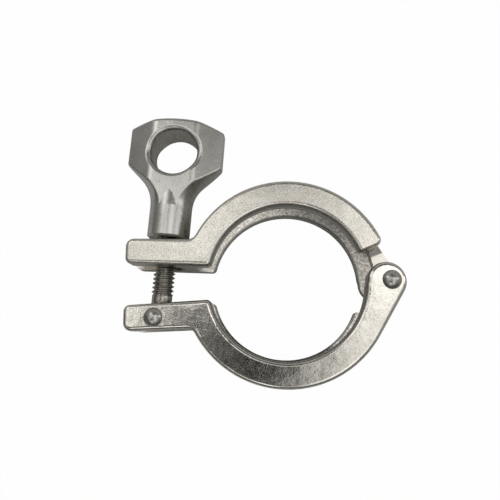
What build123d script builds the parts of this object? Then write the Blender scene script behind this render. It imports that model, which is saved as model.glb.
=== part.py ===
from build123d import *
from math import acos, atan2, cos, degrees, hypot, radians, sin, tan
import os

# Sanitary hinged clamp: two cast arms, a riveted hinge, a swing bolt and an eye nut.
#
# Frame: the origin is the centre of the ferrule joint that the clamp closes on.  +Z runs
# along the tube axis towards the face that carries the rivet heads, +X points from the tube
# axis to the hinge pin, and the bolt stands on the -X side.  All sizes are in millimetres.

os.makedirs("parts", exist_ok=True)

# ---------------------------------------------------------------- driving dimensions
# Arm casting.  Both arms are one casting; the lower one is the upper one turned over.
arm_width = 17.5            # depth of an arm along the tube axis
lip_radius = 21.8           # bore of the two flange lips
outer_radius = 29.0         # outside of the ring
ring_edge_radius = 1.2      # rounding of the cast edges on the front and rear faces

# Groove that wedges on the ferrules
groove_floor_radius = 26.1
groove_mouth = 9.2          # width between the lips, at the lip bore
groove_flank_angle = 20.0   # flank, measured from the plane of the ring
groove_throat_depth = 4.0   # the groove's cut reaches this far inside the lip bore

# Lug that the bolt passes through
lug_end_x = 45.45           # from the tube axis to the lug's end face
lug_inner_y = 4.75          # lug's inner face above the parting plane, at its root
lug_inner_root_x = 23.0     # where lug_inner_y is measured
lug_inner_taper = 2.9       # degrees that the inner face opens towards its end
lug_outer_y = 12.6          # lug's outer face above the parting plane, at its root
lug_outer_root_x = 27.0     # where lug_outer_y is measured
lug_outer_taper = 1.6       # degrees that the outer face rises towards its end
lug_outer_corner = 2.3      # corner of the lug's end with its outer face
lug_inner_corner = 1.7      # and with its inner face
lug_root_radius = 2.4       # hollow corner between the lug and the ring
lug_heel_radius = 1.3       # corner between the lug's inner face and the lip bore
slot_width = 7.0            # open slot for the bolt
slot_end_x = 29.7           # from the tube axis to the slot's round end
slot_overrun = 1.0          # the slot's cut reaches this far past the lug's end

# Half-lap hinge
hinge_x = 28.7              # hinge pin, in the parting plane
flange_end_angle = 20.8     # where the full-width ring stops short of the hinge
flange_outer_corner = 1.8   # rounding of that end at the outside of the ring
flange_inner_corner = 0.9   # and at the lip bore
ear_reach = 3.85            # how far the ear's round nose stands out beyond the ring
ear_bore_clearance = 0.25   # from the nose's inner side back to the lip bore
ear_center_y = 0.35         # centre of the nose, on the arm's own side of the parting plane
ear_blend_angle = 4.0       # where the ear's inner side leaves the lip bore
lap_root_overlap = 8.0      # degrees that the ear is rooted under the full-width ring
lap_clearance = 0.05        # from each lap face to the mid plane

# Hinge rivet and bolt rivet
rivet_diameter = 4.0
rivet_head_diameter = 5.3
rivet_head_height = 1.35
rivet_recess = 0.25         # flush end, below the rear face
rivet_fit = 0.03            # radial clearance of a rivet in its holes

# Swing bolt, a rod with a cross-drilled round end
bolt_pin_x = 36.9           # bolt pin, from the tube axis
bolt_pin_y = 9.35           # bolt pin below the parting plane
bolt_lean = 4.7             # degrees that the bolt leans towards the ring
thread_diameter = 6.35
shank_diameter = 5.9
shank_length = 6.8          # from the pin to the start of the thread
bolt_length = 41.8          # from the pin to the bolt's tip
bolt_tip_chamfer = 0.7
eye_radius = 3.5
eye_width = 6.3
thread_fit = 0.05           # radial clearance of the bolt in the nut

# Eye nut
nut_seat = 23.75            # from the bolt pin to the nut's lower face
stem_radius = 6.3
stem_bottom_chamfer = 0.5
hole_center = 49.8          # from the bolt pin to the centre of the eye
hole_radius = 6.95
hole_rim_radius = 1.3
head_thickness = 11.6       # at the eye
wing_span = 29.0
wing_tip_thickness = 3.8
face_half_width = 6.6       # flat face across the eye
face_blend_radius = 5.0     # soft ridge between that face and the wings
flare_angle = 48.0          # slope of the flare where it meets the wing tips
neck_taper_length = 5.0     # over which the stem runs out into the flat faces
neck_taper_sink = 0.05      # how far under the faces it ends
wing_bottom = 46.0          # from the bolt pin to the wings' lower corners
wing_top = 57.6             # from the bolt pin to the wings' upper corners
head_top = 60.3             # from the bolt pin to the top of the crown
neck_start = 33.0           # where the stem begins to flare
wing_edge_radius = 1.0

size_tolerance = 0.001      # for picking an edge or face by its size

# ---------------------------------------------------------------- derived values
half_width = arm_width / 2
ear_outer_x = outer_radius + ear_reach
ear_inner_x = lip_radius + ear_bore_clearance
ear_radius = (ear_outer_x - ear_inner_x) / 2
ear_center_x = (ear_outer_x + ear_inner_x) / 2
groove_half_mouth = groove_mouth / 2
bolt_axis_plane = Plane(
    origin=(-bolt_pin_x, -bolt_pin_y, 0),
    x_dir=(cos(radians(bolt_lean)), -sin(radians(bolt_lean)), 0),
    z_dir=(0, 0, 1),
)
bolt_section_plane = Plane(
    origin=(-bolt_pin_x, -bolt_pin_y, 0),
    x_dir=(cos(radians(bolt_lean)), -sin(radians(bolt_lean)), 0),
    z_dir=(sin(radians(bolt_lean)), cos(radians(bolt_lean)), 0),
)


def on_circle(radius, angle, center=(0, 0)):
    """Point at an angle, in degrees, on a circle."""
    return (center[0] + radius * cos(radians(angle)), center[1] + radius * sin(radians(angle)))


def face_height(x, height, root_x, taper):
    """Height of one of the lug's faces above the parting plane, x measured towards its end."""
    return height + (x - root_x) * tan(radians(taper))


def face_on_circle(radius, height, root_x, taper):
    """Where one of the lug's faces runs into a circle about the tube axis."""
    slope = tan(radians(taper))
    base = height - root_x * slope
    x = (-base * slope + (radius**2 * (1 + slope**2) - base**2) ** 0.5) / (1 + slope**2)
    return (-x, base + x * slope)


def arm_casting():
    """The cast arm in the upper arm's position, before its bolt or rivet is fitted."""
    heel = face_on_circle(lip_radius, lug_inner_y, lug_inner_root_x, lug_inner_taper)
    root = face_on_circle(outer_radius, lug_outer_y, lug_outer_root_x, lug_outer_taper)
    end_inner = (-lug_end_x, face_height(lug_end_x, lug_inner_y, lug_inner_root_x, lug_inner_taper))
    end_outer = (-lug_end_x, face_height(lug_end_x, lug_outer_y, lug_outer_root_x, lug_outer_taper))
    flange_outer = on_circle(outer_radius, flange_end_angle)
    flange_inner = on_circle(lip_radius, flange_end_angle)

    # The straight flank of the ear is tangent to the ring and to the ear's nose
    ear_center = (ear_center_x, ear_center_y)
    ear_distance = hypot(ear_center_x, ear_center_y)
    flank_angle = degrees(atan2(ear_center_y, ear_center_x))
    flank_angle += degrees(acos((outer_radius - ear_radius) / ear_distance))
    flank_ring = on_circle(outer_radius, flank_angle)
    flank_nose = on_circle(ear_radius, flank_angle, ear_center)
    nose_low = on_circle(ear_radius, -90, ear_center)
    nose_inner = on_circle(ear_radius, 180, ear_center)
    lap_root_angle = flange_end_angle + lap_root_overlap

    with BuildPart() as casting:
        # Ring and lug over the full width
        with BuildSketch(Plane.XY.offset(-half_width)):
            with BuildLine():
                Line(heel, end_inner)
                Line(end_inner, end_outer)
                Line(end_outer, root)
                ThreePointArc(root, on_circle(outer_radius, 90), flange_outer)
                Line(flange_outer, flange_inner)
                ThreePointArc(flange_inner, on_circle(lip_radius, 90), heel)
            make_face()
            fillet(vertices().sort_by_distance(Vector(*end_outer))[0], lug_outer_corner)
            fillet(vertices().sort_by_distance(Vector(*end_inner))[0], lug_inner_corner)
            fillet(vertices().sort_by_distance(Vector(*root))[0], lug_root_radius)
            fillet(vertices().sort_by_distance(Vector(*heel))[0], lug_heel_radius)
            fillet(vertices().sort_by_distance(Vector(*flange_outer))[0], flange_outer_corner)
            fillet(vertices().sort_by_distance(Vector(*flange_inner))[0], flange_inner_corner)
        extrude(amount=arm_width)
        # Rear half of the lap joint, with its nose around the hinge pin
        with BuildSketch(Plane.XY.offset(-half_width)):
            with BuildLine():
                Line(flank_ring, flank_nose)
                ThreePointArc(flank_nose, nose_low, nose_inner)
                Line(nose_inner, on_circle(lip_radius, ear_blend_angle))
                ThreePointArc(
                    on_circle(lip_radius, ear_blend_angle),
                    on_circle(lip_radius, (ear_blend_angle + lap_root_angle) / 2),
                    on_circle(lip_radius, lap_root_angle),
                )
                Line(on_circle(lip_radius, lap_root_angle), on_circle(outer_radius, lap_root_angle))
                ThreePointArc(
                    on_circle(outer_radius, lap_root_angle),
                    on_circle(outer_radius, (lap_root_angle + flank_angle) / 2),
                    flank_ring,
                )
            make_face()
        extrude(amount=half_width - lap_clearance)
        # Cast rounding of the front and rear faces
        fillet(casting.edges().group_by(Axis.Z)[-1], ring_edge_radius)
        fillet(casting.edges().group_by(Axis.Z)[0], ring_edge_radius)
        # Wedge groove for the ferrules
        groove_half_floor = groove_half_mouth - (groove_floor_radius - lip_radius) * tan(
            radians(groove_flank_angle)
        )
        throat_radius = lip_radius - groove_throat_depth
        groove_half_throat = groove_half_mouth + (lip_radius - throat_radius) * tan(
            radians(groove_flank_angle)
        )
        with BuildSketch(Plane.XZ):
            with BuildLine():
                Polyline(
                    (throat_radius, -groove_half_throat),
                    (groove_floor_radius, -groove_half_floor),
                    (groove_floor_radius, groove_half_floor),
                    (throat_radius, groove_half_throat),
                    close=True,
                )
            make_face()
        revolve(axis=Axis.Z, mode=Mode.SUBTRACT)
        # Open slot for the bolt
        slot_round_x = slot_end_x + slot_width / 2
        with BuildSketch(Plane.XZ):
            with Locations((-slot_round_x, 0)):
                Circle(slot_width / 2)
            with Locations((-(slot_round_x + lug_end_x + slot_overrun) / 2, 0)):
                Rectangle(lug_end_x + slot_overrun - slot_round_x, slot_width)
        extrude(amount=-outer_radius, mode=Mode.SUBTRACT)
        # Hinge pin hole
        with Locations((hinge_x, 0, 0)):
            Hole(rivet_diameter / 2 + rivet_fit)
    return casting.part


def rivet(x, y):
    """Domed rivet along Z, headed on the front face and flush at the rear."""
    head_sphere = (rivet_head_diameter**2 / 4 + rivet_head_height**2) / (2 * rivet_head_height)
    with BuildPart() as pin:
        with BuildSketch(Plane.XY.offset(-half_width + rivet_recess)):
            with Locations((x, y)):
                Circle(rivet_diameter / 2)
        extrude(amount=arm_width - rivet_recess)
        with BuildSketch(Plane((x, y, 0), x_dir=(1, 0, 0), z_dir=(0, -1, 0))):
            with BuildLine():
                Line((0, half_width), (rivet_head_diameter / 2, half_width))
                RadiusArc(
                    (rivet_head_diameter / 2, half_width),
                    (0, half_width + rivet_head_height),
                    -head_sphere,
                )
                Line((0, half_width + rivet_head_height), (0, half_width))
            make_face()
        revolve(axis=Axis((x, y, 0), (0, 0, 1)))
    return pin.part


# ---------------------------------------------------------------- upper arm
arm_blank = arm_casting()

with BuildPart() as upper_arm:
    add(arm_blank)

upper_arm.part.label = "upper_arm"
export_step(upper_arm.part, "parts/upper_arm.step")

# ---------------------------------------------------------------- lower arm
with BuildPart() as lower_arm:
    add(arm_blank, rotation=(180, 0, 0))
    with Locations((-bolt_pin_x, -bolt_pin_y, 0)):
        Hole(rivet_diameter / 2 + rivet_fit)

lower_arm.part.label = "lower_arm"
export_step(lower_arm.part, "parts/lower_arm.step")

# ---------------------------------------------------------------- rivets
hinge_rivet = rivet(hinge_x, 0)
bolt_rivet = rivet(-bolt_pin_x, -bolt_pin_y)

with BuildPart() as hinge_pin:
    add(hinge_rivet)

hinge_pin.part.label = "hinge_pin"
export_step(hinge_pin.part, "parts/hinge_pin.step")

with BuildPart() as bolt_pin:
    add(bolt_rivet)

bolt_pin.part.label = "bolt_pin"
export_step(bolt_pin.part, "parts/bolt_pin.step")

# ---------------------------------------------------------------- swing bolt
with BuildPart() as swing_bolt:
    # Shank and threaded length
    with BuildSketch(bolt_section_plane):
        Circle(shank_diameter / 2)
    extrude(amount=shank_length)
    with BuildSketch(bolt_section_plane.offset(shank_length)):
        Circle(thread_diameter / 2)
    extrude(amount=bolt_length - shank_length)
    chamfer(swing_bolt.faces().sort_by(Axis.Y)[-1].edges(), bolt_tip_chamfer)
    # Eye about the bolt pin
    with BuildSketch(bolt_axis_plane.offset(-eye_width / 2)):
        Circle(eye_radius)
    extrude(amount=eye_width)
    with BuildSketch(bolt_axis_plane.offset(-eye_width)):
        Circle(rivet_diameter / 2 + rivet_fit)
    extrude(amount=2 * eye_width, mode=Mode.SUBTRACT)

swing_bolt.part.label = "swing_bolt"
export_step(swing_bolt.part, "parts/swing_bolt.step")

# ---------------------------------------------------------------- eye nut
half_span = wing_span / 2
half_head = head_thickness / 2
half_tip = wing_tip_thickness / 2
crown_rise = head_top - wing_top
crown_radius = (half_span**2 + crown_rise**2) / (2 * crown_rise)
bolt_axis = Axis(bolt_axis_plane.origin, bolt_section_plane.z_dir)


def off_center(edge):
    """How far to the side of the bolt's axis an edge's middle is."""
    return abs((edge.center() - bolt_axis_plane.origin).dot(bolt_axis_plane.x_dir))


with BuildPart() as wing_nut:
    # Turned flare that carries the wings
    with BuildSketch(bolt_axis_plane):
        with BuildLine():
            Polyline((0, neck_start), (stem_radius, neck_start))
            Spline(
                (stem_radius, neck_start),
                (half_span, wing_bottom),
                tangents=((0, 1), (cos(radians(flare_angle)), sin(radians(flare_angle)))),
            )
            Polyline((half_span, wing_bottom), (half_span, head_top), (0, head_top), (0, neck_start))
        make_face()
    revolve(axis=bolt_axis)
    # Flat faces around the eye, sloping back to thin wing tips
    with BuildSketch(bolt_section_plane.offset(neck_start)):
        with BuildLine():
            Polyline(
                (face_half_width, half_head),
                (half_span, half_tip),
                (half_span, -half_tip),
                (face_half_width, -half_head),
                (-face_half_width, -half_head),
                (-half_span, -half_tip),
                (-half_span, half_tip),
                (-face_half_width, half_head),
                close=True,
            )
        make_face()
    extrude(amount=head_top - neck_start, mode=Mode.INTERSECT)
    # Crown
    with BuildSketch(bolt_axis_plane.offset(-half_head)):
        with BuildLine():
            Polyline((half_span, wing_top), (half_span, neck_start), (-half_span, neck_start))
            Line((-half_span, neck_start), (-half_span, wing_top))
            RadiusArc((-half_span, wing_top), (half_span, wing_top), crown_radius)
        make_face()
    extrude(amount=head_thickness, mode=Mode.INTERSECT)
    lines = wing_nut.edges().filter_by(GeomType.LINE)
    ridges = lines.filter_by(lambda edge: abs(off_center(edge) - face_half_width) < size_tolerance)
    fillet(ridges, face_blend_radius)
    neck_section = wing_nut.faces().sort_by(bolt_axis)[0]
    fillet(wing_nut.edges() - neck_section.edges(), wing_edge_radius)
    # Eye
    with BuildSketch(bolt_axis_plane.offset(-half_head)):
        with Locations((0, hole_center)):
            Circle(hole_radius)
    extrude(amount=head_thickness, mode=Mode.SUBTRACT)
    drums = wing_nut.faces().filter_by(GeomType.CYLINDER)
    eye_wall = drums.filter_by(lambda face: abs(face.radius - hole_radius) < size_tolerance)
    rims = eye_wall.edges().filter_by(lambda edge: abs(edge.center().Z) > half_head / 2)
    fillet(rims, hole_rim_radius)
    # Stem, running out into the head's faces
    with BuildSketch(bolt_axis_plane):
        with BuildLine():
            Polyline(
                (0, nut_seat),
                (stem_radius - stem_bottom_chamfer, nut_seat),
                (stem_radius, nut_seat + stem_bottom_chamfer),
                (stem_radius, neck_start),
                (half_head - neck_taper_sink, neck_start + neck_taper_length),
                (0, neck_start + neck_taper_length),
                close=True,
            )
        make_face()
    revolve(axis=bolt_axis)
    # Threaded bore, open into the eye
    with BuildSketch(bolt_section_plane.offset(nut_seat)):
        Circle(thread_diameter / 2 + thread_fit)
    extrude(amount=hole_center - nut_seat, mode=Mode.SUBTRACT)

wing_nut.part.label = "wing_nut"
export_step(wing_nut.part, "parts/wing_nut.step")
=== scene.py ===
"""Sanitary hinged clamp: materials, rolled thread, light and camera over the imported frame."""

import math

import bmesh
import bpy
from mathutils import Matrix, Vector


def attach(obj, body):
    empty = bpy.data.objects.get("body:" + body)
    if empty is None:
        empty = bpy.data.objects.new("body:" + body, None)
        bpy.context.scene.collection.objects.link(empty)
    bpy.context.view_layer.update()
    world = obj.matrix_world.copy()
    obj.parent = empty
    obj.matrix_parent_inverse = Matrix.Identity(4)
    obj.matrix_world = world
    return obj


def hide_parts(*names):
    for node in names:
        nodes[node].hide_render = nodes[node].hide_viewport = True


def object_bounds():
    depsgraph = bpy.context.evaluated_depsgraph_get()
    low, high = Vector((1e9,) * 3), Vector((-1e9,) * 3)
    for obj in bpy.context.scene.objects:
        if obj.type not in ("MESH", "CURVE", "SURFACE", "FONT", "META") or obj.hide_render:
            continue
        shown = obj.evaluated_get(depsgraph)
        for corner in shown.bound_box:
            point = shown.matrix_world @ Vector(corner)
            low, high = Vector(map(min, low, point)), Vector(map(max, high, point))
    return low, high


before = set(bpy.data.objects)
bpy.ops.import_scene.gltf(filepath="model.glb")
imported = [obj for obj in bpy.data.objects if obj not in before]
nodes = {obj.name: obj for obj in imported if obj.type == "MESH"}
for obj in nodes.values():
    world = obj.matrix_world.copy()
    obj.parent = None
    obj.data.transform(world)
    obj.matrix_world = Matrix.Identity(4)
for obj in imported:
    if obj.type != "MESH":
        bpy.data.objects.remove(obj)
cad_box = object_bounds()
MM = 0.001
FULL_TURN = 2 * math.pi
QUARTER_TURN = math.pi / 2

# ------------------------------------------------------------------ swing bolt, in millimetres
BOLT_PIN = Vector((-36.9, -9.35, 0.0))
BOLT_LEAN = math.radians(4.7)
THREAD_R = 3.175
THREAD_ROOT_R = 2.5
PITCH = 1.27
CREST_SHARE = 0.14   # flat crest, as a share of the pitch
FLANK_POWER = 1.15   # above 1 keeps the crest full
THREAD_START = 6.4   # from the pin
RUN_IN = 1.1         # length over which the thread rises out of the shank
BOLT_TIP = 41.8      # from the pin
TIP_LENGTH = 0.8     # length of the tip's chamfer
TIP_DROP = 0.75      # what the chamfer takes off the radius
SHANK_R = 2.95
SHANK_START = 1.2    # inside the eye, from the pin
SHANK_END_GAP = 0.5  # from the last plain ring to the thread's start
EYE_R = 3.5
EYE_HALF = 3.15
EYE_EDGE = 0.35      # rounding of the eye's rims
RIVET_R = 2.03
RIVET_EDGE = 0.12    # chamfer of the rivet's hole
ROD_SIDES = 64
RINGS_PER_TURN = 14
EYE_SIDES = 72
EDGE_STEPS = 6

# ------------------------------------------------------------------ painted shade and grit marks on the arms, in metres
# Each pair of fades gives where a mark is gone and where it is full
LIP_R = 0.0218
LAND_INNER_Z = 0.0048           # the lip bore's edge at the groove's mouth
LAND_OUTER_Z = 0.0074           # and at the rounded face
BORE_FADE = (LIP_R + 0.0006, LIP_R + 0.0003)
MOUTH_FADE = (0.0007, 0.0002)   # to either side of LAND_INNER_Z
FACE_FADE = (0.0009, 0.0003)    # to either side of LAND_OUTER_Z
GROOVE_R_FADE = (0.0266, 0.0260)
GROOVE_Z_FADE = (0.0047, 0.0044)
WALL_FADE = (0.80, 0.35)        # of how far the surface faces along Z
FLANGE_END = math.radians(20.8)
STRIP_TOP_FADE = (0.0021, 0.0014)
STRIP_FOOT_FADE = (-0.0012, -0.0006)
STRIP_Z_FADE = (0.0009, 0.0005)

# ------------------------------------------------------------------ grain of the metals
# Noise: cells per metre, detail and roughness
CAST_GRAIN = (2100.0, 3.0, 0.6)
CAST_FINE = (5200.0, 2.0, 0.5)
CAST_CLOUD = (120.0, 5.0, 0.6)
CAST_WAVES = (150.0, 2.0, 0.5)
CAST_RIPPLE = (1300.0, 4.0, 0.65)
GROOVE_GRIT = (1500.0, 4.0, 0.65)
SATIN_GRAIN = (2300.0, 3.0, 0.6)
SATIN_CLOUD = (170.0, 4.0, 0.55)
SATIN_WAVES = (420.0, 2.0, 0.5)
PITS_PER_METRE = 620.0
DENTS_PER_METRE = 420.0
WAVE_HEIGHT = 0.00022


# ------------------------------------------------------------------ node helpers
class Nodes:
    """Short calls for building a node tree."""

    def __init__(self, tree):
        self.tree = tree
        self.tree.nodes.clear()
        self.coords = None

    def add(self, kind, **values):
        node = self.tree.nodes.new(kind)
        for key, value in values.items():
            setattr(node, key, value)
        return node

    def link(self, a, b):
        self.tree.links.new(a, b)

    def put(self, socket, value):
        if isinstance(value, bpy.types.NodeSocket):
            self.link(value, socket)
        else:
            socket.default_value = value

    def math(self, op, a, b=0.0, c=None, clamp=False):
        node = self.add("ShaderNodeMath", operation=op, use_clamp=clamp)
        self.put(node.inputs[0], a)
        self.put(node.inputs[1], b)
        if c is not None:
            self.put(node.inputs[2], c)
        return node.outputs[0]

    def times(self, product, *others):
        for other in others:
            product = self.math("MULTIPLY", product, other)
        return product

    def rest(self, share):
        """What a share leaves of 1."""
        return self.math("SUBTRACT", 1.0, share)

    def away(self, value, middle=None):
        """Distance of a value from a middle, or from zero."""
        if middle is not None:
            value = self.math("SUBTRACT", value, middle)
        return self.math("ABSOLUTE", value)

    def length2(self, x, y):
        squares = self.math("ADD", self.times(x, x), self.times(y, y))
        return self.math("SQRT", squares)

    def ramp(self, value, low, high, to_low=0.0, to_high=1.0):
        node = self.add("ShaderNodeMapRange", interpolation_type="SMOOTHSTEP")
        self.put(node.inputs["Value"], value)
        node.inputs["From Min"].default_value = low
        node.inputs["From Max"].default_value = high
        node.inputs["To Min"].default_value = to_low
        node.inputs["To Max"].default_value = to_high
        return node.outputs["Result"]

    def noise(self, scale, detail, rough):
        node = self.add("ShaderNodeTexNoise")
        self.link(self.coords, node.inputs["Vector"])
        node.inputs["Scale"].default_value = scale
        node.inputs["Detail"].default_value = detail
        node.inputs["Roughness"].default_value = rough
        return node.outputs["Fac"]

    def cells(self, scale):
        node = self.add("ShaderNodeTexVoronoi")
        self.link(self.coords, node.inputs["Vector"])
        node.inputs["Scale"].default_value = scale
        return node.outputs["Distance"]

    def mix(self, fac, a, b):
        node = self.add("ShaderNodeMix", data_type="RGBA")
        self.put(node.inputs["Factor"], fac)
        for key, colour in (("A", a), ("B", b)):
            is_socket = isinstance(colour, bpy.types.NodeSocket)
            self.put(node.inputs[key], colour if is_socket else (*colour, 1.0))
        return node.outputs["Result"]

    def bump(self, height, distance, strength, below=None):
        node = self.add("ShaderNodeBump")
        node.inputs["Strength"].default_value = strength
        node.inputs["Distance"].default_value = distance
        self.link(height, node.inputs["Height"])
        if below is not None:
            self.link(below, node.inputs["Normal"])
        return node.outputs["Normal"]

    def parts(self, vector):
        """The x, y and z of a vector."""
        node = self.add("ShaderNodeSeparateXYZ")
        self.link(vector, node.inputs[0])
        return node.outputs

    def facing(self):
        """How far the surface faces along the object's own Z."""
        return self.parts(self.add("ShaderNodeTexCoord").outputs["Normal"])[2]

    def by_ray(self, lit_by, seen, share, output):
        """Lights the object with one shader and shows the camera a share of the other."""
        join = self.add("ShaderNodeMixShader")
        is_camera = self.add("ShaderNodeLightPath").outputs["Is Camera Ray"]
        self.link(self.times(is_camera, share), join.inputs[0])
        self.link(lit_by.outputs[0], join.inputs[1])
        self.link(seen.outputs[0], join.inputs[2])
        self.link(join.outputs[0], self.add(output).inputs["Surface"])


class Metal(Nodes):
    """A metal with one principled shader, in the object's own coordinates."""

    def __init__(self, name):
        self.mat = bpy.data.materials.new(name)
        self.mat.use_nodes = True
        super().__init__(self.mat.node_tree)
        self.shader = self.add("ShaderNodeBsdfPrincipled")
        out = self.add("ShaderNodeOutputMaterial")
        self.link(self.shader.outputs["BSDF"], out.inputs["Surface"])
        self.shader.inputs["Metallic"].default_value = 1.0
        self.coords = self.add("ShaderNodeTexCoord").outputs["Object"]

    def finish(self, colour, rough, normal):
        self.link(colour, self.shader.inputs["Base Color"])
        self.link(rough, self.shader.inputs["Roughness"])
        self.link(normal, self.shader.inputs["Normal"])
        return self.mat


def shade(colour, share):
    """A colour at a share of its brightness."""
    return tuple(c * share for c in colour)


# ------------------------------------------------------------------ metals
def cast_steel(name, light, dark, mottle, rough, relief_height, ripple_height):
    """Blasted cast stainless: fine grain, soft mottling, pits and a coarse grain in the groove,
    with painted shade on its bore lines, walls and lap.
    """
    t = Metal(name)
    x, y, z = t.parts(t.coords)
    height = t.away(z)
    grain = t.noise(*CAST_GRAIN)
    fine = t.noise(*CAST_FINE)
    clear_of_pits = t.ramp(t.cells(PITS_PER_METRE), 0.05, 0.16)
    grit = t.ramp(t.noise(*GROOVE_GRIT), 0.42, 0.60)
    in_groove = t.times(t.ramp(t.length2(x, y), *GROOVE_R_FADE), t.ramp(height, *GROOVE_Z_FADE))

    cloud_tone = t.ramp(t.noise(*CAST_CLOUD), 0.36, 0.64)
    grain_tone = t.times(t.ramp(grain, 0.30, 0.62), 1.0 - mottle)
    colour = t.mix(t.math("MULTIPLY_ADD", cloud_tone, mottle, grain_tone), dark, light)
    colour = t.mix(t.times(t.rest(clear_of_pits), 0.5), colour, shade(dark, 0.4))
    colour = t.mix(t.times(in_groove, 0.8), colour, t.mix(grit, shade(dark, 0.6), light))
    # Painted shade: dark lines where the lip bore meets the groove and the rounded face
    near_mouth = t.ramp(t.away(height, LAND_INNER_Z), *MOUTH_FADE)
    near_face = t.ramp(t.away(height, LAND_OUTER_Z), *FACE_FADE)
    on_bore = t.ramp(t.length2(x, y), *BORE_FADE)
    painted_shade_line = t.times(on_bore, t.math("MAXIMUM", near_mouth, near_face))
    colour = t.mix(t.times(painted_shade_line, 0.75), colour, shade(dark, 0.12))
    # Painted reflection: the walls are darkened in colour, as they are dark mostly by what they
    # reflect
    painted_wall_reflection = t.times(t.ramp(t.away(t.facing()), *WALL_FADE), t.rest(in_groove))
    colour = t.mix(t.times(painted_wall_reflection, 0.40), colour, shade(dark, 0.25))
    # Painted shade on the lap, in a strip under the flange's end that stands over it
    sideways = t.times(x, math.sin(FLANGE_END))
    below = t.math("SUBTRACT", sideways, t.times(y, math.cos(FLANGE_END)))
    painted_lap_shade = t.times(
        t.ramp(below, *STRIP_TOP_FADE),
        t.ramp(height, *STRIP_Z_FADE),
        t.ramp(below, *STRIP_FOOT_FADE),
    )
    colour = t.mix(t.times(painted_lap_shade, 0.85), colour, shade(dark, 0.15))

    relief = t.math("MULTIPLY_ADD", grain, 0.8, t.times(fine, 0.2))
    relief = t.math("ADD", relief, t.times(clear_of_pits, 0.25))
    relief = t.math("ADD", relief, t.times(grit, in_groove, 0.4))
    normal = t.bump(t.noise(*CAST_WAVES), WAVE_HEIGHT, 0.5)
    normal = t.bump(t.noise(*CAST_RIPPLE), ripple_height, 1.0, normal)
    normal = t.bump(relief, relief_height, 1.0, normal)
    return t.finish(colour, t.math("MULTIPLY_ADD", t.ramp(fine, 0.3, 0.7), 0.12, rough), normal)


def satin_steel(name, light, dark, rough, grain_height, wave_height):
    """Tumbled stainless: smoother, with soft clouds, soft waves and small dents."""
    t = Metal(name)
    grain = t.noise(*SATIN_GRAIN)
    clear_of_dents = t.ramp(t.cells(DENTS_PER_METRE), 0.06, 0.20)
    cloud_tone = t.ramp(t.noise(*SATIN_CLOUD), 0.35, 0.65)
    grain_tone = t.times(t.ramp(grain, 0.3, 0.65), 0.5)
    tone = t.math("MULTIPLY_ADD", cloud_tone, 0.5, grain_tone, clamp=True)
    colour = t.mix(tone, dark, light)
    colour = t.mix(t.times(t.rest(clear_of_dents), 0.35), colour, shade(dark, 0.6))

    relief = t.math("MULTIPLY_ADD", clear_of_dents, 0.4, grain)
    normal = t.bump(t.noise(*SATIN_WAVES), wave_height, 0.5)
    normal = t.bump(relief, grain_height, 0.8, normal)
    return t.finish(colour, t.math("MULTIPLY_ADD", grain, 0.14, rough), normal)


arm_metal = cast_steel(
    "cast_arm_steel",
    light=(0.88, 0.845, 0.775),
    dark=(0.69, 0.655, 0.59),
    mottle=0.35,
    rough=0.20,
    relief_height=0.000028,
    ripple_height=0.000008,
)
worn_arm_metal = cast_steel(
    "cast_arm_steel_worn",
    light=(0.90, 0.87, 0.80),
    dark=(0.58, 0.555, 0.505),
    mottle=0.40,
    rough=0.05,
    relief_height=0.000012,
    ripple_height=0.000017,
)
nut_metal = satin_steel(
    "nut_steel",
    light=(0.68, 0.67, 0.63),
    dark=(0.54, 0.53, 0.495),
    rough=0.22,
    grain_height=0.000018,
    wave_height=0.00006,
)
rivet_metal = satin_steel(
    "rivet_steel",
    light=(0.66, 0.64, 0.59),
    dark=(0.40, 0.385, 0.35),
    rough=0.20,
    grain_height=0.000012,
    wave_height=0.00009,
)
thread_metal = satin_steel(
    "thread_steel",
    light=(0.55, 0.53, 0.49),
    dark=(0.20, 0.185, 0.165),
    rough=0.18,
    grain_height=0.000012,
    wave_height=0.00003,
)


def dress(obj, mat):
    obj.data.materials.clear()
    obj.data.materials.append(mat)


def place_object(name, data):
    obj = bpy.data.objects.new(name, data)
    bpy.context.scene.collection.objects.link(obj)
    return obj


dress(nodes["upper_arm"], arm_metal)
dress(nodes["lower_arm"], worn_arm_metal)
dress(nodes["hinge_pin"], rivet_metal)
dress(nodes["bolt_pin"], rivet_metal)
dress(nodes["wing_nut"], nut_metal)


# ------------------------------------------------------------------ swing bolt and its thread
def bolt_matrix():
    """Bolt-local millimetres to the row frame: z along the bolt, y along the row's +Z."""
    along = Vector((math.sin(BOLT_LEAN), math.cos(BOLT_LEAN), 0.0))
    across = Vector((math.cos(BOLT_LEAN), -math.sin(BOLT_LEAN), 0.0))
    up = along.cross(across)
    m = Matrix((across, up, along)).transposed().to_4x4()
    m.translation = BOLT_PIN
    return m


def thread_radius(phase):
    """Radius at a phase of 0 to 1 along the pitch, with a flat crest and a round root."""
    from_crest = abs(phase - 0.5) - CREST_SHARE / 2
    if from_crest < 0:
        return THREAD_R
    depth = from_crest / (0.5 - CREST_SHARE / 2)
    return THREAD_R - (THREAD_R - THREAD_ROOT_R) * math.sin(depth * QUARTER_TURN) ** FLANK_POWER


def rod_radius(z, angle):
    """Plain shank, then the helical thread, which runs in slowly and ends in a chamfer."""
    phase = (z / PITCH - angle / FULL_TURN) % 1.0
    tip = max(0.0, (z - (BOLT_TIP - TIP_LENGTH)) / TIP_LENGTH)
    threaded = min(thread_radius(phase), THREAD_R - TIP_DROP * tip)
    run_in = min(1.0, max(0.0, (z - THREAD_START) / RUN_IN))
    return SHANK_R * (1 - run_in) + threaded * run_in


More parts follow.
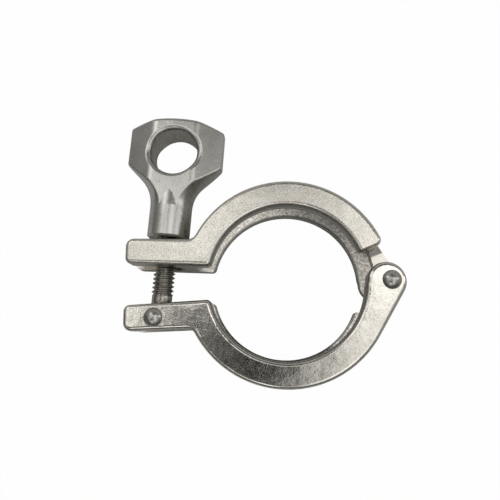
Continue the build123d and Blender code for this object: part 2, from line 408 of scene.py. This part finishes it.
def add_rod(bm):
    """A closed skin of rings up the rod, capped at both ends."""
    steps = int((BOLT_TIP - THREAD_START) / PITCH * RINGS_PER_TURN)
    step = (BOLT_TIP - THREAD_START) / steps
    heights = [SHANK_START, THREAD_START - SHANK_END_GAP]
    heights += [THREAD_START + i * step for i in range(steps + 1)]
    rows = []
    for z in heights:
        row = []
        for k in range(ROD_SIDES):
            a = FULL_TURN * k / ROD_SIDES
            r = rod_radius(z, a)
            row.append(bm.verts.new((r * math.cos(a), r * math.sin(a), z)))
        rows.append(row)
    for low, high in zip(rows, rows[1:]):
        for k in range(ROD_SIDES):
            n = (k + 1) % ROD_SIDES
            bm.faces.new((low[k], low[n], high[n], high[k]))
    bm.faces.new(list(reversed(rows[0])))
    bm.faces.new(rows[-1])


def add_eye(bm):
    """A short drum across the rod, with rounded rims and the rivet's hole."""
    section = [(RIVET_R, EYE_HALF - RIVET_EDGE), (RIVET_R + RIVET_EDGE, EYE_HALF)]
    for k in range(EDGE_STEPS + 1):
        a = QUARTER_TURN * k / EDGE_STEPS
        r = EYE_R - EYE_EDGE + EYE_EDGE * math.sin(a)
        section.append((r, EYE_HALF - EYE_EDGE + EYE_EDGE * math.cos(a)))
    section += [(r, -h) for r, h in reversed(section)]
    rows = []
    for k in range(EYE_SIDES):
        a = FULL_TURN * k / EYE_SIDES
        rows.append([bm.verts.new((r * math.cos(a), h, r * math.sin(a))) for r, h in section])
    for k, row in enumerate(rows):
        next_row = rows[(k + 1) % EYE_SIDES]
        for j in range(len(section)):
            n = (j + 1) % len(section)
            bm.faces.new((row[j], row[n], next_row[n], next_row[j]))


def make_bolt():
    bm = bmesh.new()
    add_rod(bm)
    add_eye(bm)
    bmesh.ops.recalc_face_normals(bm, faces=bm.faces)
    bmesh.ops.transform(bm, matrix=Matrix.Scale(MM, 4) @ bolt_matrix(), verts=bm.verts)
    for face in bm.faces:
        face.smooth = True
    mesh = bpy.data.meshes.new("bolt_with_thread")
    bm.to_mesh(mesh)
    bm.free()
    obj = place_object("bolt_with_thread", mesh)
    dress(obj, thread_metal)
    return obj


bolt = make_bolt()
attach(bolt, "swing_bolt")
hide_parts("swing_bolt")

# ------------------------------------------------------------------ floor
FLOOR_Z = cad_box[0][2]
FLOOR_HALF = 3.0
FLOOR_GREY = (0.72, 0.72, 0.705, 1.0)
WHITE = (1.0, 1.0, 1.0, 1.0)
FLOOR_WHITE_SHARE = 0.985

mesh = bpy.data.meshes.new("floor")
corners = ((-1, -1), (1, -1), (1, 1), (-1, 1))
mesh.from_pydata(
    [(FLOOR_HALF * x, FLOOR_HALF * y, FLOOR_Z) for x, y in corners],
    [],
    [(0, 1, 2, 3)],
)
floor = place_object("floor", mesh)
floor_mat = bpy.data.materials.new("floor_white")
floor_mat.use_nodes = True
f = Nodes(floor_mat.node_tree)
f_grey = f.add("ShaderNodeBsdfDiffuse")
f_grey.inputs["Color"].default_value = FLOOR_GREY
f_white = f.add("ShaderNodeEmission")
f_white.inputs["Color"].default_value = WHITE
f.by_ray(f_grey, f_white, FLOOR_WHITE_SHARE, "ShaderNodeOutputMaterial")
mesh.materials.append(floor_mat)

# ------------------------------------------------------------------ world
ROOM_TINT = (1.0, 0.995, 0.98, 1.0)
DARK_BODY = 0.08       # share of the light that a dark body leaves
NEAR_RIGHT_LOSS = -0.33
LOW_RIGHT_GAIN = 0.25
SIDE_SLANT = (0.45, 0.95)

world = bpy.data.worlds.new("studio")
bpy.context.scene.world = world
world.use_nodes = True
w = Nodes(world.node_tree)
dx, dy, dz = w.parts(w.add("ShaderNodeTexCoord").outputs["Generated"])


def panel(rise, fall, strength, left_over=0.0):
    """Light across dx: up to a strength over the rise, down to what is left over the fall."""
    up = w.ramp(dx, *rise, 0.0, strength)
    return w.math("ADD", up, w.ramp(dx, *fall, 0.0, left_over - strength))


def corner(across, along):
    """A soft corner of the sky, which comes in across dx and along dy."""
    return w.times(w.ramp(dx, *across), w.ramp(dy, *along))


def behind_body(light, scale, shift, edge):
    """The light past a dark ellipse: each direction is scaled, then shifted."""
    x = w.math("MULTIPLY_ADD", dx, scale[0], shift[0])
    y = w.math("MULTIPLY_ADD", dy, scale[1], shift[1])
    return w.times(light, w.ramp(w.length2(x, y), *edge, DARK_BODY, 1.0))


# Bright panels to the right and left of overhead, dimmer between and behind them
right = panel(rise=(0.02, 0.22), fall=(0.38, 0.62), strength=1.08)
right = w.times(right, w.ramp(dy, 0.30, 0.42, 1.0, 0.15))
left = panel(rise=(-0.03, -0.11), fall=(-0.14, -0.27), strength=1.60, left_over=0.10)
low_left = corner(across=(-0.19, -0.25), along=(0.15, 0.05))
left = w.math("MULTIPLY_ADD", low_left, w.ramp(dx, -0.34, -0.46, 0.95, 0.0), left)
above = w.math("ADD", w.math("ADD", right, left), w.ramp(dx, 0.40, 0.62, 0.48, 0.38))
near_right = corner(across=(0.0, 0.06), along=(0.16, 0.02))
above = w.times(above, w.math("MULTIPLY_ADD", near_right, NEAR_RIGHT_LOSS, 1.0))
above = w.times(above, w.ramp(dy, 0.25, 0.45, 1.0, 0.10))
low_right = corner(across=(0.16, 0.30), along=(-0.06, -0.18))
above = w.math("MULTIPLY_ADD", low_right, LOW_RIGHT_GAIN, above)
# The dark body of whatever stands over the object, its core, and whoever stands before it
above = behind_body(above, scale=(6.2, 7.7), shift=(0.62, 0.0), edge=(0.80, 1.28))
above = behind_body(above, scale=(12.0, 14.0), shift=(0.50, 0.75), edge=(0.60, 1.10))
above = behind_body(above, scale=(3.2, 4.0), shift=(0.75, 1.35), edge=(0.75, 1.15))
# A dark room at the sides, lighter behind and to the right, and darkest below the floor
side = w.math("ADD", w.times(dx, SIDE_SLANT[0]), w.times(dy, SIDE_SLANT[1]))
around = w.ramp(side, -0.45, 0.35, 0.09, 0.36)
around = w.times(around, w.ramp(dz, -0.05, 0.20, 0.2, 1.0))
room = w.add("ShaderNodeMix", data_type="FLOAT")
w.put(room.inputs["Factor"], w.ramp(dz, 0.45, 0.80))
w.put(room.inputs["A"], around)
w.put(room.inputs["B"], above)

w_room = w.add("ShaderNodeBackground")
w_room.inputs["Color"].default_value = ROOM_TINT
w.link(room.outputs["Result"], w_room.inputs["Strength"])
w_white = w.add("ShaderNodeBackground")
w_white.inputs["Color"].default_value = WHITE
w.by_ray(w_room, w_white, 1.0, "ShaderNodeOutputWorld")


# ------------------------------------------------------------------ lamps
def softbox(name, place, aim, width, height, power):
    data = bpy.data.lights.new(name, "AREA")
    data.shape = "RECTANGLE"
    data.size = width
    data.size_y = height
    data.energy = power
    obj = place_object(name, data)
    obj.location = place
    obj.rotation_euler = (Vector(aim) - Vector(place)).to_track_quat("-Z", "Y").to_euler()


LAMP_AIM = (0.0, 0.01, 0.0)
softbox("key", (-0.22, 0.22, 0.34), LAMP_AIM, width=0.16, height=0.16, power=0.12)
softbox("fill", (0.30, 0.05, 0.22), LAMP_AIM, width=0.06, height=0.24, power=0.07)

# ------------------------------------------------------------------ camera
CAMERA_PLACE = Vector((-4.607, -17.260, 145.004))
TILT_ANGLE = -0.189
YAW_ANGLE = -0.042
ROLL_ANGLE = math.radians(-0.64)
LENS = 35.81
SENSOR_WIDTH = 36.0
CLIP_START = 0.005

cam_data = bpy.data.cameras.new("camera")
cam_data.sensor_width = SENSOR_WIDTH
cam_data.lens = LENS
cam_data.clip_start = CLIP_START
cam = place_object("camera", cam_data)
turn = Matrix.Rotation(TILT_ANGLE, 3, "X") @ Matrix.Rotation(YAW_ANGLE, 3, "Y")
pose = (Matrix.Rotation(ROLL_ANGLE, 3, "Z") @ turn.transposed()).to_4x4()
pose.translation = CAMERA_PLACE * MM
cam.matrix_world = pose
bpy.context.scene.camera = cam

bpy.context.scene.view_settings.view_transform = "Standard"
